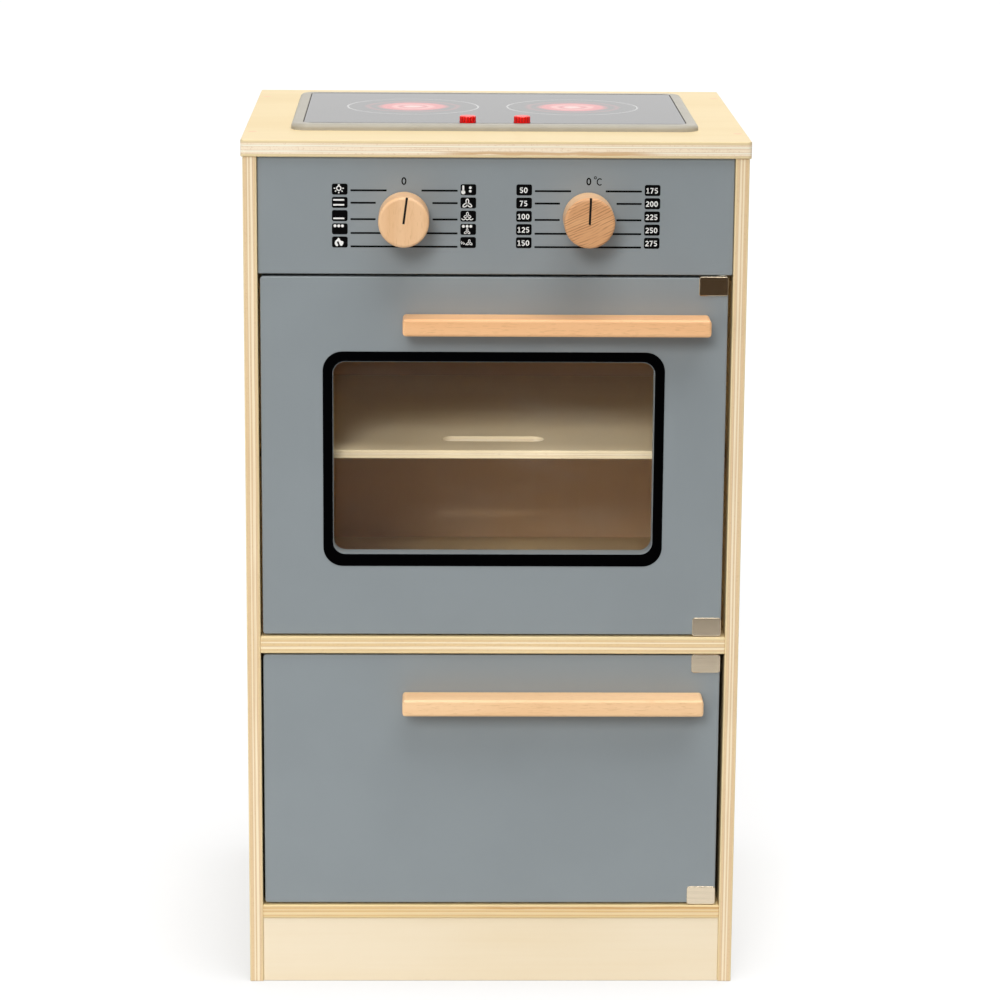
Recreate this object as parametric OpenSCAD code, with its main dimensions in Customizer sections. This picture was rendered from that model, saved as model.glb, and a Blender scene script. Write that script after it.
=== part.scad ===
// Toy oven: a plywood play cooker. A painted fascia carries two turned knobs, a window door stands
// over a plain door, both on pivot hinges at the right, and a battery hob drops into the worktop.
// Millimetres, +Z up. The front looks along -Y, and the origin is on the floor, under the middle
// of the whole box. Depths are counted from the front edges of the side boards, heights from the floor.

/* [Carcass] */
// Width over the two side boards
carcass_w = 342; // [330:1:360]
// Depth of the side boards
carcass_d = 298; // [290:1:310]
// Height of the side boards
carcass_h = 588.5; // [580:0.5:600]
// Thickness of the side boards, the oven ceiling, the bottom shelf and the plinth
thin_ply = 9.5; // [9:0.5:10]
// Thickness of the shelf between the doors and of the painted boards
thick_ply = 12; // [11.5:0.5:12.5]
// Thickness of the worktop
worktop_t = 11.5; // [11:0.5:12.5]
// Thickness of the back panel
back_t = 5; // [4:0.5:6]
// Radius of the sanded edges of the boards
sanded = 0.8; // [0.4:0.1:1]
// How far the worktop stands out at the sides and the back
worktop_over = 1.3; // [1:0.1:3]

/* [Shelves] */
// Height of the upper face of the bottom shelf
bottom_shelf_top = 57; // [50:0.5:60]
// Height of the upper face of the shelf between the doors, which is the oven floor
middle_shelf_top = 254; // [248:0.5:260]
// Height of the underside of the oven ceiling
ceiling_under = 502; // [500:0.5:503]
// Height of the upper face of the loose oven shelf
oven_shelf_top = 382.5; // [375:0.5:390]
// Thickness of the loose oven shelf
oven_shelf_t = 6; // [5:0.5:6.5]
// Length of the grip slot in the oven shelf
slot_l = 72; // [60:1:90]
// Width of the grip slot, front to back
slot_w = 17; // [15:1:24]
// Distance from the front edges of the side boards to the middle of the grip slot
slot_depth = 58; // [55:1:65]

/* [Fascia] */
// Height of the lower edge of the fascia
fascia_bottom = 508.7; // [508.2:0.1:509.2]
// How far the fascia and the doors stand back from the front edges of the side boards
setback = 2; // [1.5:0.1:2.5]

/* [Doors] */
// Gap between the left side board and the doors
gap_left = 1.6; // [1.5:0.1:3]
// Gap between the right side board and the doors, at the hinges
gap_right = 3; // [2.9:0.1:3.4]
// Gap above and below a door, where the hinge webs turn
gap_hinge = 1.5; // [1.4:0.1:1.6]
// Height of the upper edge of the upper door
upper_door_top = 506.8; // [506.4:0.1:507]

/* [Window] */
// Width of the window opening
window_w = 220; // [200:1:230]
// Height of the window opening
window_h = 135; // [120:1:140]
// Height of the middle of the window opening
window_mid = 380.7; // [378:0.1:384]
// Corner radius of the window opening
window_r = 8.5; // [6:0.5:12]
// Width of the black border round the window, at the sides
border_w = 7; // [5:0.5:8]
// Height of the lower edge of the black border
border_bottom = 304.4; // [303:0.1:306]
// Height of the upper edge of the black border
border_top = 455.2; // [454:0.1:457]

/* [Handles] */
// Length of a handle bar
handle_l = 209; // [180:1:220]
// Height of a handle bar
handle_h = 12; // [10:0.5:14]
// How far a handle bar stands out from its door
handle_d = 22; // [20:1:28]
// Distance from the hinge edge of the door to the end of its handle
handle_end = 12.5; // [11.5:0.5:20]
// Height of the middle of the upper handle
upper_handle_mid = 475.5; // [472:0.5:478]
// Height of the middle of the lower handle
lower_handle_mid = 208; // [195:0.5:212]

/* [Hinges] */
// Distance from the hinge edge of the door to the hinge pin
pin_inset = 4.2; // [4:0.1:4.4]
// Distance from the door's front face to the hinge pin
pin_depth = 4.5; // [4.2:0.1:4.7]
// Diameter of a hinge pin
pin_d = 3; // [2.5:0.5:3]
// Width of a hinge clip
clip_w = 20; // [16:1:24]
// Height of a hinge clip, web included
clip_h = 13.3; // [12:0.1:15]

/* [Knobs] */
// Diameter of a knob
knob_d = 34.2; // [30:0.2:36]
// How far a knob reaches out from the fascia
knob_l = 29; // [26:1:34]
// Distance between the two knobs
knob_spacing = 124.5; // [110:0.5:140]
// Height of the knobs
knob_mid = 548.2; // [542:0.2:554]
// How far the left knob's pointer is turned clockwise from upright
left_pointer = 7.5; // [-30:0.5:30]
// How far the right knob's pointer is turned clockwise from upright
right_pointer = 2; // [-30:0.5:30]
// Diameter of the dowel that a knob turns on
dowel_d = 8; // [6:0.5:9]

/* [Hob] */
// Width of the hob unit's rim
hob_w = 281; // [276:1:286]
// Depth of the hob unit's rim
hob_d = 199; // [197:1:201]
// Height of the rim over the worktop
hob_h = 4.4; // [4.4:0.1:5]
// Radius of the rim's upper edge
hob_edge = 2.8; // [2:0.2:3]
// Distance between the middles of the two rings
ring_spacing = 114; // [100:1:125]
// Distance between the two push buttons
button_spacing = 37.5; // [30:0.5:50]
// Diameter of a push button over its ribs
button_d = 11.6; // [11.2:0.2:12]
// How far a push button travels
button_travel = 1.5; // [1:0.1:1.6]

/* [Hidden] */
$fn = 64;

// Colours
plywood = "#f0dcb8";
beech = "#e6b98a";
paint = "#8a9194";
print_black = "#0c0c0c";
acrylic = [0.80, 0.84, 0.86, 0.35];
nickel = "#b3a894";
zinc = "#b9bcc0";
nylon = "#e9e7df";
rim_grey = "#a09c8c";
cover_black = "#303033";
housing_black = "#2b2b2d";
button_red = "#d8141a";
board_green = "#2f6b3c";
lamp_red = "#e04a4a";
felt = "#6e6a66";

clear = 0.05;                       // radial clearance of screws, pins and dowels in their bores
gap = 0.3;                          // gap of a board that only just goes between its neighbours

// Carcass. The knobs stand out in front and the worktop at the back: the box is centred over both.
worktop_front = 1;                  // how far the worktop stands out in front
worktop_top = carcass_h + worktop_t;
front_y = -(carcass_d + worktop_over - knob_l + setback) / 2;
inner = carcass_w / 2 - thin_ply;   // half the width between the side boards
back_face = carcass_d - back_t;     // depth of the back panel's front face
painted_back = setback + thick_ply; // depth of the back faces of the fascia and the doors
ceiling_front = 18;                 // depth of the ceiling's front edge, clear of the hinge clips
runner_w = 8;
runner_h = 12;
runner_depth = [30, 270];

// Screws: [diameter, length, head diameter, head height]
carcass_screw = [3, 26, 6, 2];
worktop_screw = [3, 28, 6, 2];
runner_screw = [2.6, 14, 5, 2];
back_screw = [2.6, 16, 5, 2];
catch_screw = [2.4, 16, 4.6, 1.8];
clip_screw = [2.4, 8, 4.4, 1.4];
pane_screw = [2.6, 9, 5.6, 1.8];
handle_screw = [3.6, 26, 7, 2.2];
strike_screw = [2.2, 9, 4.2, 1];
base_screw = [2.8, 12, 5.4, 2];
knob_screw = [3, 12, 7, 2.2];
plug_d = 6.2;
plug_t = 2.6;

// Where the screws through a side board go: [depth, height] of each
side_screw_places = [
    for (depth = [60, 255]) [depth, ceiling_under + thin_ply / 2],
    for (depth = [40, 255]) [depth, middle_shelf_top - thick_ply / 2],
    for (depth = [40, 255]) [depth, bottom_shelf_top - thin_ply / 2],
    for (height = [530, 572]) [setback + thick_ply / 2, height],
    [worktop_front + thin_ply / 2, 24]];
worktop_screw_depths = [44.5, 255];
back_screw_places = [
    for (x = [-110, 0, 110], z = [ceiling_under + thin_ply / 2, middle_shelf_top - thick_ply / 2,
        bottom_shelf_top - thin_ply / 2]) [x, z]];
runner_screw_depths = [60, 240];

// Doors
door_x = [-inner + gap_left, inner - gap_right];
door_mid = (door_x[0] + door_x[1]) / 2;
door_y = [setback, painted_back];
upper_door_z = [middle_shelf_top + gap_hinge, upper_door_top];
lower_door_z = [bottom_shelf_top + gap_hinge, middle_shelf_top - thick_ply - gap_hinge];
handle_x = [door_x[1] - handle_end - handle_l, door_x[1] - handle_end];
handle_screw_inset = 20;
pane_t = 2;
pane_margin = 12;                   // how far the pane laps over the door round the opening
pane_inset = 5.5;                   // distance of the pane screws from the pane's edges
film_t = 0.3;                       // thickness of the border film

// Hinges
pin_x = door_x[1] - pin_inset;
pin_y = setback + pin_depth;
metal = 1;                          // thickness of the hinge clips
bush_d = 5;
bush_l = 5;
bush_flange = [8, 0.3];             // diameter and thickness
pin_l = metal + gap_hinge - bush_flange[1] + 3.5;
clip_screw_x = door_x[1] - 12.5;
clip_screw_z = 8;                   // distance of the clip screw from the door's edge

// Catches, near the free edges of the doors
catch_x = [door_x[0] + 10, door_x[0] + 32];
catch_y = [painted_back + 1.5, painted_back + 21.5];
catch_mid = (catch_x[0] + catch_x[1]) / 2;
catch_h = 10;
catch_unders = [ceiling_under, middle_shelf_top - thick_ply];
magnet = [14, 4, 5];                // width, depth and height
strike = [22, 10, 1.2];             // width, height and thickness
strike_drop = 7.5;                  // distance of its middle below the board that holds the catch

// Knobs. Lengths along a knob are counted outwards from the fascia's front face.
knob_edge = 2;
knob_back = 0.9;
washer = [20, 0.8];                 // diameter and thickness
dowel_out = 19;                     // end of the dowel inside the knob
dowel_in = thick_ply + 0.6;         // end of the dowel behind the fascia
retainer = [16, 1.2];
groove = [1.5, 1];                  // width and depth of the pointer

// Hob. Heights are counted from the worktop's upper face.
hob_mid = carcass_d / 2 + 2;        // depth of the middle of the unit
hob_r = 12;
lip = 8;                            // width of the rim round the cover
cover_t = 1.6;
cover_seat = 2.7;
ledge = 2;
skirt_t = 2.5;
skirt_down = -34;
skirt = [hob_w - 2 * (lip + ledge) + 2 * skirt_t, hob_d - 2 * (lip + ledge) + 2 * skirt_t];
skirt_r = 6;
cavity = [skirt[0] - 2 * skirt_t, skirt[1] - 2 * skirt_t];
base_t = 2;
boss_d = 7;
boss_at = [cavity[0] / 2 - 3.2, cavity[1] / 2 - 3.2];
ring_back = 7.5;                    // how far the rings lie behind the middle
button_front = 82.4;                // how far the buttons lie in front of the middle
button_up = 8.7;                    // height of a button's upper face
button_base = 1.0;                  // height of the underside of its flange
button_flange = [13.2, 1.4];        // diameter and thickness
flutes = 16;
stem_d = 5;
stem_down = -6.1;
board_top = -11.4;
board_t = 1.6;
board_size = [190, 116];
board_mid = -30.9;                  // place of the board's middle, behind the unit's middle
board_post_at = [82, 50];
stake_d = 2.9;
switch_h = 3.4;
lamp_r = 14;                        // radius of the circle of lamps under a ring
lamp_d = 5;
speaker_at = [70, 62];
speaker_d = 40;
cell_d = 14.2;
cell_l = 50;
cell_pitch = 15;
battery_at = [-60, 62];
battery_box = [cell_l + 8, 3 * cell_pitch + 2];
battery_cover_t = 2;
cover_screw_at = [battery_at[0] + battery_box[0] / 2 + 7, battery_at[1]];
contact = [9, 0.6];                 // width and thickness of a battery contact

// Depth from the front edges of the side boards, as a Y value
function deep(d) = front_y + d;

// Rectangle with round corners
module rounded_rect(w, h, r) {
    square([w - 2 * r, h], center = true);
    square([w, h - 2 * r], center = true);
    for (sx = [-1, 1], sy = [-1, 1]) translate([sx * (w / 2 - r), sy * (h / 2 - r)]) circle(r);
}

// Box between two X, two Y and two Z values, with all twelve edges sanded round.
// corner is the radius of the four upright edges, and front that of the four that run front to back.
module board(x, y, z, r = sanded, corner = 0, front = 0) {
    size = [x[1] - x[0], y[1] - y[0], z[1] - z[0]];
    translate([x[0] + x[1], y[0] + y[1], z[0] + z[1]] / 2) intersection() {
        linear_extrude(size[2], center = true) rounded_rect(size[0], size[1], max(r, corner));
        rotate([90, 0, 0])
            linear_extrude(size[1], center = true) rounded_rect(size[0], size[2], max(r, front));
        rotate([90, 0, 90]) linear_extrude(size[0], center = true) rounded_rect(size[1], size[2], r);
    }
}

// Plain box between two X, two Y and two Z values
module block(x, y, z) {
    translate([x[0], y[0], z[0]]) cube([x[1] - x[0], y[1] - y[0], z[1] - z[0]]);
}

// Countersunk wood screw: the head's face lies at z = 0 and the shank points down
module sunk_screw(s, grow = 0) {
    translate([0, 0, -s[3]]) cylinder(h = s[3], d1 = s[0] + 2 * grow, d2 = s[2] + 2 * grow);
    translate([0, 0, -s[1] + s[0]]) cylinder(h = s[1] - s[0], d = s[0] + 2 * grow);
    translate([0, 0, -s[1]]) cylinder(h = s[0], d1 = 0.4 + 2 * grow, d2 = s[0] + 2 * grow);
}

// Pan head wood screw: the head stands on z = 0 and the shank points down
module pan_screw(s, grow = 0) {
    rotate_extrude() difference() {
        square([s[2] / 2 + grow, s[3]]);
        translate([s[2] / 2 + grow - 0.6, s[3] - 0.6]) difference() {
            square(1);
            circle(0.6);
        }
    }
    translate([0, 0, -s[1] + s[0]]) cylinder(h = s[1] - s[0], d = s[0] + 2 * grow);
    translate([0, 0, -s[1]]) cylinder(h = s[0], d1 = 0.4 + 2 * grow, d2 = s[0] + 2 * grow);
}

// Turns what points down at the origin so that it goes in through the left (-1) or right (1) side
module through_side(side, place, sunk) {
    translate([side * (carcass_w / 2 - sunk), deep(place[0]), place[1]]) rotate([0, side * 90, 0])
        children();
}

module side_screw_set(side, grow = 0) {
    for (place = side_screw_places) through_side(side, place, plug_t) sunk_screw(carcass_screw, grow);
}

module side_plug_set(side, grow = 0) {
    for (place = side_screw_places) through_side(side, place, plug_t)
        cylinder(h = plug_t + (grow > 0 ? 1 : 0), d = plug_d + 2 * grow);
}

module runner_screw_set(side, grow = 0) {
    for (depth = runner_screw_depths)
        translate([side * (inner - runner_w), deep(depth), oven_shelf_top - oven_shelf_t - runner_h / 2])
            rotate([0, -side * 90, 0]) sunk_screw(runner_screw, grow);
}

module worktop_screw_set(grow = 0) {
    for (side = [-1, 1], depth = worktop_screw_depths)
        translate([side * (carcass_w - thin_ply) / 2, deep(depth), worktop_top - plug_t])
            sunk_screw(worktop_screw, grow);
}

module worktop_plug_set(grow = 0) {
    for (side = [-1, 1], depth = worktop_screw_depths)
        translate([side * (carcass_w - thin_ply) / 2, deep(depth), worktop_top - plug_t])
            cylinder(h = plug_t + (grow > 0 ? 1 : 0), d = plug_d + 2 * grow);
}

module back_screw_set(grow = 0) {
    for (place = back_screw_places) translate([place[0], deep(carcass_d), place[1]])
        rotate([-90, 0, 0]) sunk_screw(back_screw, grow);
}

// Puts a hinge part on the pin's axis, at the height of a face. The part's +Z points up where up is 1,
// and down where up is -1.
module at_hinge(face, up) {
    translate([pin_x, deep(pin_y), face]) mirror([0, 0, up > 0 ? 0 : 1]) children();
}

// ---- Carcass ----

module side_board(side) {
    color(plywood) difference() {
        board(side > 0 ? [inner, carcass_w / 2] : [-carcass_w / 2, -inner],
            [deep(0), deep(carcass_d)], [0, carcass_h]);
        side_screw_set(side, clear);
        side_plug_set(side, clear);
        runner_screw_set(side, clear);
        worktop_screw_set(clear);
    }
}

module side_left() { side_board(-1); }

module side_right() { side_board(1); }

module worktop() {
    color(plywood) difference() {
        board([-carcass_w / 2 - worktop_over, carcass_w / 2 + worktop_over],
            [deep(-worktop_front), deep(carcass_d + worktop_over)],
            [carcass_h, worktop_top], corner = 3);
        translate([0, deep(hob_mid), carcass_h - 1]) linear_extrude(worktop_t + 2)
            rounded_rect(skirt[0] + 2, skirt[1] + 2, skirt_r + 1);
        worktop_screw_set(clear);
        worktop_plug_set(clear);
    }
}

module fascia() {
    color(paint) difference() {
        board([-inner + gap, inner - gap], [deep(setback), deep(painted_back)],
            [fascia_bottom, carcass_h]);
        for (side = [-1, 1]) {
            translate([side * knob_spacing / 2, deep(setback - 1), knob_mid]) rotate([-90, 0, 0])
                cylinder(h = thick_ply + 2, d = dowel_d + 0.16);
            side_screw_set(side, clear);
        }
        translate([pin_x, deep(pin_y), fascia_bottom - 1]) cylinder(h = bush_l + 1, d = bush_d);
    }
}

module oven_ceiling() {
    color(plywood) difference() {
        board([-inner, inner], [deep(ceiling_front), deep(back_face)],
            [ceiling_under, ceiling_under + thin_ply]);
        for (side = [-1, 1]) side_screw_set(side, clear);
        back_screw_set(clear);
        catch_screw_set(ceiling_under, clear);
    }
}

module middle_shelf() {
    color(plywood) difference() {
        board([-inner, inner], [deep(0), deep(back_face)],
            [middle_shelf_top - thick_ply, middle_shelf_top]);
        for (side = [-1, 1]) side_screw_set(side, clear);
        back_screw_set(clear);
        catch_screw_set(middle_shelf_top - thick_ply, clear);
        translate([pin_x, deep(pin_y), middle_shelf_top - bush_l]) cylinder(h = thick_ply, d = bush_d);
        translate([pin_x, deep(pin_y), middle_shelf_top - 2 * thick_ply + bush_l])
            cylinder(h = thick_ply, d = bush_d);
    }
}

module bottom_shelf() {
    color(plywood) difference() {
        board([-inner, inner], [deep(0), deep(back_face)],
            [bottom_shelf_top - thin_ply, bottom_shelf_top]);
        for (side = [-1, 1]) side_screw_set(side, clear);
        back_screw_set(clear);
        translate([pin_x, deep(pin_y), bottom_shelf_top - bush_l]) cylinder(h = thin_ply, d = bush_d);
    }
}

module plinth() {
    color(plywood) difference() {
        board([-inner, inner], [deep(worktop_front), deep(worktop_front + thin_ply)],
            [0, bottom_shelf_top - thin_ply]);
        for (side = [-1, 1]) side_screw_set(side, clear);
    }
}

module back_panel() {
    color(plywood) difference() {
        board([-inner, inner], [deep(back_face), deep(carcass_d)], [0, carcass_h]);
        back_screw_set(clear);
    }
}

module shelf_runners() {
    color(beech) for (side = [-1, 1]) difference() {
        board(side > 0 ? [inner - runner_w, inner] : [-inner, -inner + runner_w],
            [deep(runner_depth[0]), deep(runner_depth[1])],
            [oven_shelf_top - oven_shelf_t - runner_h, oven_shelf_top - oven_shelf_t], r = 1);
        runner_screw_set(side, clear);
    }
}

module oven_shelf() {
    color(plywood) difference() {
        board([-inner + 1.5, inner - 1.5], [deep(20), deep(back_face - 2)],
            [oven_shelf_top - oven_shelf_t, oven_shelf_top], r = sanded, corner = 3);
        translate([0, deep(slot_depth), oven_shelf_top - oven_shelf_t - 1])
            linear_extrude(oven_shelf_t + 2) {
                square([slot_l - slot_w, slot_w], center = true);
                for (side = [-1, 1]) translate([side * (slot_l - slot_w) / 2, 0]) circle(d = slot_w);
            }
    }
}

module worktop_screws() { color(zinc) worktop_screw_set(); }

module worktop_plugs() { color(beech) worktop_plug_set(); }

module side_screws() { color(zinc) for (side = [-1, 1]) side_screw_set(side); }

module side_plugs() { color(beech) for (side = [-1, 1]) side_plug_set(side); }

module runner_screws() { color(zinc) for (side = [-1, 1]) runner_screw_set(side); }

module back_screws() { color(zinc) back_screw_set(); }

// Flanged nylon bush: the flange lies on the board at z = 0, towards the door, and the sleeve is in it
module bush() {
    difference() {
        union() {
            translate([0, 0, -bush_flange[1]]) cylinder(h = bush_flange[1], d = bush_flange[0]);
            cylinder(h = bush_l, d = bush_d);
        }
        translate([0, 0, -1]) cylinder(h = bush_l + 2, d = pin_d + 2 * clear);
    }
}

module hinge_bushes() {
    color(nylon) {
        at_hinge(fascia_bottom, 1) bush();
        at_hinge(middle_shelf_top, -1) bush();
        at_hinge(middle_shelf_top - thick_ply, 1) bush();
        at_hinge(bottom_shelf_top, -1) bush();
    }
}

module catch_screw_set(under, grow = 0) {
    translate([catch_mid, deep(catch_y[1] - 5), under - catch_h]) mirror([0, 0, 1])
        sunk_screw(catch_screw, grow);
}

// Magnet in the front of a catch; out makes it stand out in front, which cuts its pocket
module catch_magnet(under, out = 0) {
    block([catch_mid - magnet[0] / 2, catch_mid + magnet[0] / 2],
        [deep(catch_y[0]) - out, deep(catch_y[0]) + magnet[1]],
        [under - catch_h / 2 - magnet[2] / 2, under - catch_h / 2 + magnet[2] / 2]);
}

module door_catches() {
    color(nylon) for (under = catch_unders) difference() {
        board(catch_x, [deep(catch_y[0]), deep(catch_y[1])], [under - catch_h, under], corner = 2);
        catch_magnet(under, out = 1);
        catch_screw_set(under, clear);
    }
}

module catch_magnets() {
    color(zinc) for (under = catch_unders) catch_magnet(under);
}

module catch_screws() {
    color(zinc) for (under = catch_unders) catch_screw_set(under);
}

// ---- Doors ----

// Bores of a door: handle screws, hinge clip screws and the strike's screw
module door_bores(z, handle_mid, under) {
    handle_screw_set(handle_mid, clear);
    clip_screw_set(z, clear);
    strike_screw_set(under, clear);
}

module handle_screw_set(mid, grow = 0) {
    for (x = [handle_x[0] + handle_screw_inset, handle_x[1] - handle_screw_inset])
        translate([x, deep(painted_back), mid]) rotate([-90, 0, 0]) pan_screw(handle_screw, grow);
}

module clip_screw_set(z, grow = 0) {
    for (height = [z[0] + clip_screw_z, z[1] - clip_screw_z])
        translate([clip_screw_x, deep(painted_back + metal), height]) rotate([-90, 0, 0])
            pan_screw(clip_screw, grow);
}

module strike_screw_set(under, grow = 0) {
    translate([catch_mid, deep(painted_back + strike[2]), under - strike_drop]) rotate([-90, 0, 0])
        sunk_screw(strike_screw, grow);
}

module upper_door() {
    color(paint) difference() {
        board(door_x, [deep(door_y[0]), deep(door_y[1])], upper_door_z, front = 2.5);
        translate([door_mid, deep(door_y[0] - 1), window_mid]) rotate([-90, 0, 0])
            linear_extrude(thick_ply + 2) rounded_rect(window_w, window_h, window_r);
        door_bores(upper_door_z, upper_handle_mid, catch_unders[0]);
        pane_screw_set(clear);
    }
}

module window_border() {
    height = border_top - border_bottom;
    color(print_black) translate([door_mid, deep(setback), 0]) rotate([90, 0, 0])
        linear_extrude(film_t) difference() {
            translate([0, (border_top + border_bottom) / 2])
                rounded_rect(window_w + 2 * border_w, height, window_r + 5);
            translate([0, window_mid]) rounded_rect(window_w + 0.6, window_h + 0.6, window_r);
        }
}

module window_pane() {
    color(acrylic) difference() {
        translate([door_mid, deep(painted_back), window_mid]) rotate([-90, 0, 0])
            linear_extrude(pane_t)
                rounded_rect(window_w + 2 * pane_margin, window_h + 2 * pane_margin, 6);
        pane_screw_set(clear);
    }
}

module pane_screw_set(grow = 0) {
    half = [window_w / 2 + pane_margin - pane_inset, window_h / 2 + pane_margin - pane_inset];
    for (sx = [-1, 0, 1], sz = [-1, 0, 1]) if (sx != 0 || sz != 0)
        translate([door_mid + sx * half[0], deep(painted_back + pane_t), window_mid + sz * half[1]])
            rotate([-90, 0, 0]) pan_screw(pane_screw, grow);
}

module pane_screws() { color(zinc) pane_screw_set(); }

// Beech bar with rounded arrises, screwed on from behind the door
module handle_bar(mid) {
    color(beech) difference() {
        board(handle_x, [deep(setback - handle_d), deep(setback)],
            [mid - handle_h / 2, mid + handle_h / 2], r = 2, front = 3);
        handle_screw_set(mid, clear);
    }
}

module upper_handle() { handle_bar(upper_handle_mid); }

module upper_handle_screws() { color(zinc) handle_screw_set(upper_handle_mid); }

// Folded clip over the door's edge: two leaves and a web, which holds the riveted pin
module hinge_clip(edge, up) {
    leaf_x = [door_x[1] - clip_w, door_x[1]];
    height = up > 0 ? [edge + metal - clip_h, edge + metal] : [edge - metal, edge - metal + clip_h];
    difference() {
        board(leaf_x, [deep(setback - metal), deep(painted_back + metal)], height, r = 0.4, front = 2);
        block([leaf_x[0] - 1, leaf_x[1] + 1], [deep(setback), deep(painted_back)],
            up > 0 ? [height[0] - 1, edge] : [edge, height[1] + 1]);
        translate([pin_x, deep(pin_y), edge - 2]) cylinder(h = 4, d = pin_d);
    }
}

module clip_set(z) {
    difference() {
        union() {
            hinge_clip(z[1], 1);
            hinge_clip(z[0], -1);
        }
        clip_screw_set(z, clear);
    }
}

module pin_set(z) {
    at_hinge(z[1], 1) hinge_pin();
    at_hinge(z[0], -1) hinge_pin();
}

module hinge_pin() {
    cylinder(h = pin_l - 0.5, d = pin_d);
    translate([0, 0, pin_l - 0.5]) cylinder(h = 0.5, d1 = pin_d, d2 = pin_d - 1);
}

// Thin steel plate that the magnet holds, with its screw
module strike_plate(under) {
    difference() {
        translate([catch_mid, deep(painted_back), under - strike_drop]) rotate([-90, 0, 0])
            linear_extrude(strike[2]) rounded_rect(strike[0], strike[1], 1);
        strike_screw_set(under, clear);
    }
    strike_screw_set(under);
}

module upper_hinge_clips() { color(nickel) clip_set(upper_door_z); }

module upper_hinge_pins() { color(zinc) pin_set(upper_door_z); }

module upper_hinge_screws() { color(zinc) clip_screw_set(upper_door_z); }

module upper_strike() { color(zinc) strike_plate(catch_unders[0]); }

module lower_door() {
    color(paint) difference() {
        board(door_x, [deep(door_y[0]), deep(door_y[1])], lower_door_z, front = 2.5);
        door_bores(lower_door_z, lower_handle_mid, catch_unders[1]);
    }
}

module lower_handle() { handle_bar(lower_handle_mid); }

module lower_handle_screws() { color(zinc) handle_screw_set(lower_handle_mid); }

module lower_hinge_clips() { color(nickel) clip_set(lower_door_z); }

module lower_hinge_pins() { color(zinc) pin_set(lower_door_z); }

module lower_hinge_screws() { color(zinc) clip_screw_set(lower_door_z); }

module lower_strike() { color(zinc) strike_plate(catch_unders[1]); }

// ---- Knobs ----

// Puts a knob part in place: local +Z points out of the fascia, from its front face
module at_knob(side) {
    translate([side * knob_spacing / 2, deep(setback), knob_mid]) rotate([90, 0, 0]) children();
}

// Turned beech knob with a rounded rim, a blind bore for its dowel and a sawn pointer
module knob(side, pointer) {
    r = knob_d / 2;
    color(beech) at_knob(side) difference() {
        rotate_extrude($fn = 128) {
            translate([0, knob_back]) square([r - knob_edge, knob_l - knob_back]);
            translate([0, knob_back + knob_edge]) square([r, knob_l - knob_back - 2 * knob_edge]);
            for (z = [knob_back + knob_edge, knob_l - knob_edge]) translate([r - knob_edge, z])
                circle(knob_edge, $fn = 32);
        }
        translate([0, 0, -1]) cylinder(h = dowel_out + 1, d = dowel_d);
        rotate([0, 0, -pointer]) translate([-groove[0] / 2, -1, knob_l - groove[1]])
            cube([groove[0], r + 2, groove[1] + 1]);
    }
}

module knob_dowel(side) {
    color(beech) at_knob(side) difference() {
        translate([0, 0, -dowel_in]) cylinder(h = dowel_in + dowel_out, d = dowel_d);
        translate([0, 0, -dowel_in - 1]) cylinder(h = knob_screw[1] + 1, d = knob_screw[0] + 2 * clear);
    }
}

// Steel washer and pan head screw that keep the dowel in the fascia, from behind
module knob_retainer(side) {
    color(zinc) at_knob(side) translate([0, 0, -dowel_in - retainer[1]]) {
        difference() {
            cylinder(h = retainer[1], d = retainer[0]);
            translate([0, 0, -1]) cylinder(h = retainer[1] + 2, d = knob_screw[0] + 2 * clear);
        }
        mirror([0, 0, 1]) pan_screw(knob_screw);
    }
}

module left_knob() { knob(-1, left_pointer); }

module left_knob_dowel() { knob_dowel(-1); }

module left_knob_retainer() { knob_retainer(-1); }

module right_knob() { knob(1, right_pointer); }

module right_knob_dowel() { knob_dowel(1); }

module right_knob_retainer() { knob_retainer(1); }

module knob_washers() {
    color(felt) for (side = [-1, 1]) at_knob(side) difference() {
        cylinder(h = washer[1], d = washer[0]);
        translate([0, 0, -1]) cylinder(h = washer[1] + 2, d = dowel_d + 0.4);
    }
}

// ---- Hob ----

// Puts a hob part in place: the origin is on the worktop, in the middle of the unit
module at_hob() {
    translate([0, deep(hob_mid), worktop_top]) children();
}

module quarter_disc(r) {
    intersection() {
        circle(r);
        square(r);
    }
}

// Plate with round corners, r in plan, and a rounded upper edge, e in section
module rolled_plate(w, d, h, r, e) {
    linear_extrude(h - e) rounded_rect(w, d, r);
    linear_extrude(h) rounded_rect(w - 2 * e, d - 2 * e, r - e);
    translate([0, 0, h - e]) {
        for (sx = [-1, 1], sy = [-1, 1]) translate([sx * (w / 2 - r), sy * (d / 2 - r), 0])
            rotate_extrude() translate([r - e, 0]) quarter_disc(e);
        for (side = [0, 1]) mirror([side, 0, 0]) translate([w / 2 - e, 0, 0]) rotate([90, 0, 0])
            linear_extrude(d - 2 * r, center = true) quarter_disc(e);
        for (side = [0, 1]) mirror([0, side, 0]) translate([0, d / 2 - e, 0]) rotate([90, 0, 90])
            linear_extrude(w - 2 * r, center = true) quarter_disc(e);
    }
}

module corner_places(at) {
    for (sx = [-1, 1], sy = [-1, 1]) translate([sx * at[0], sy * at[1], 0]) children();
}

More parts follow.
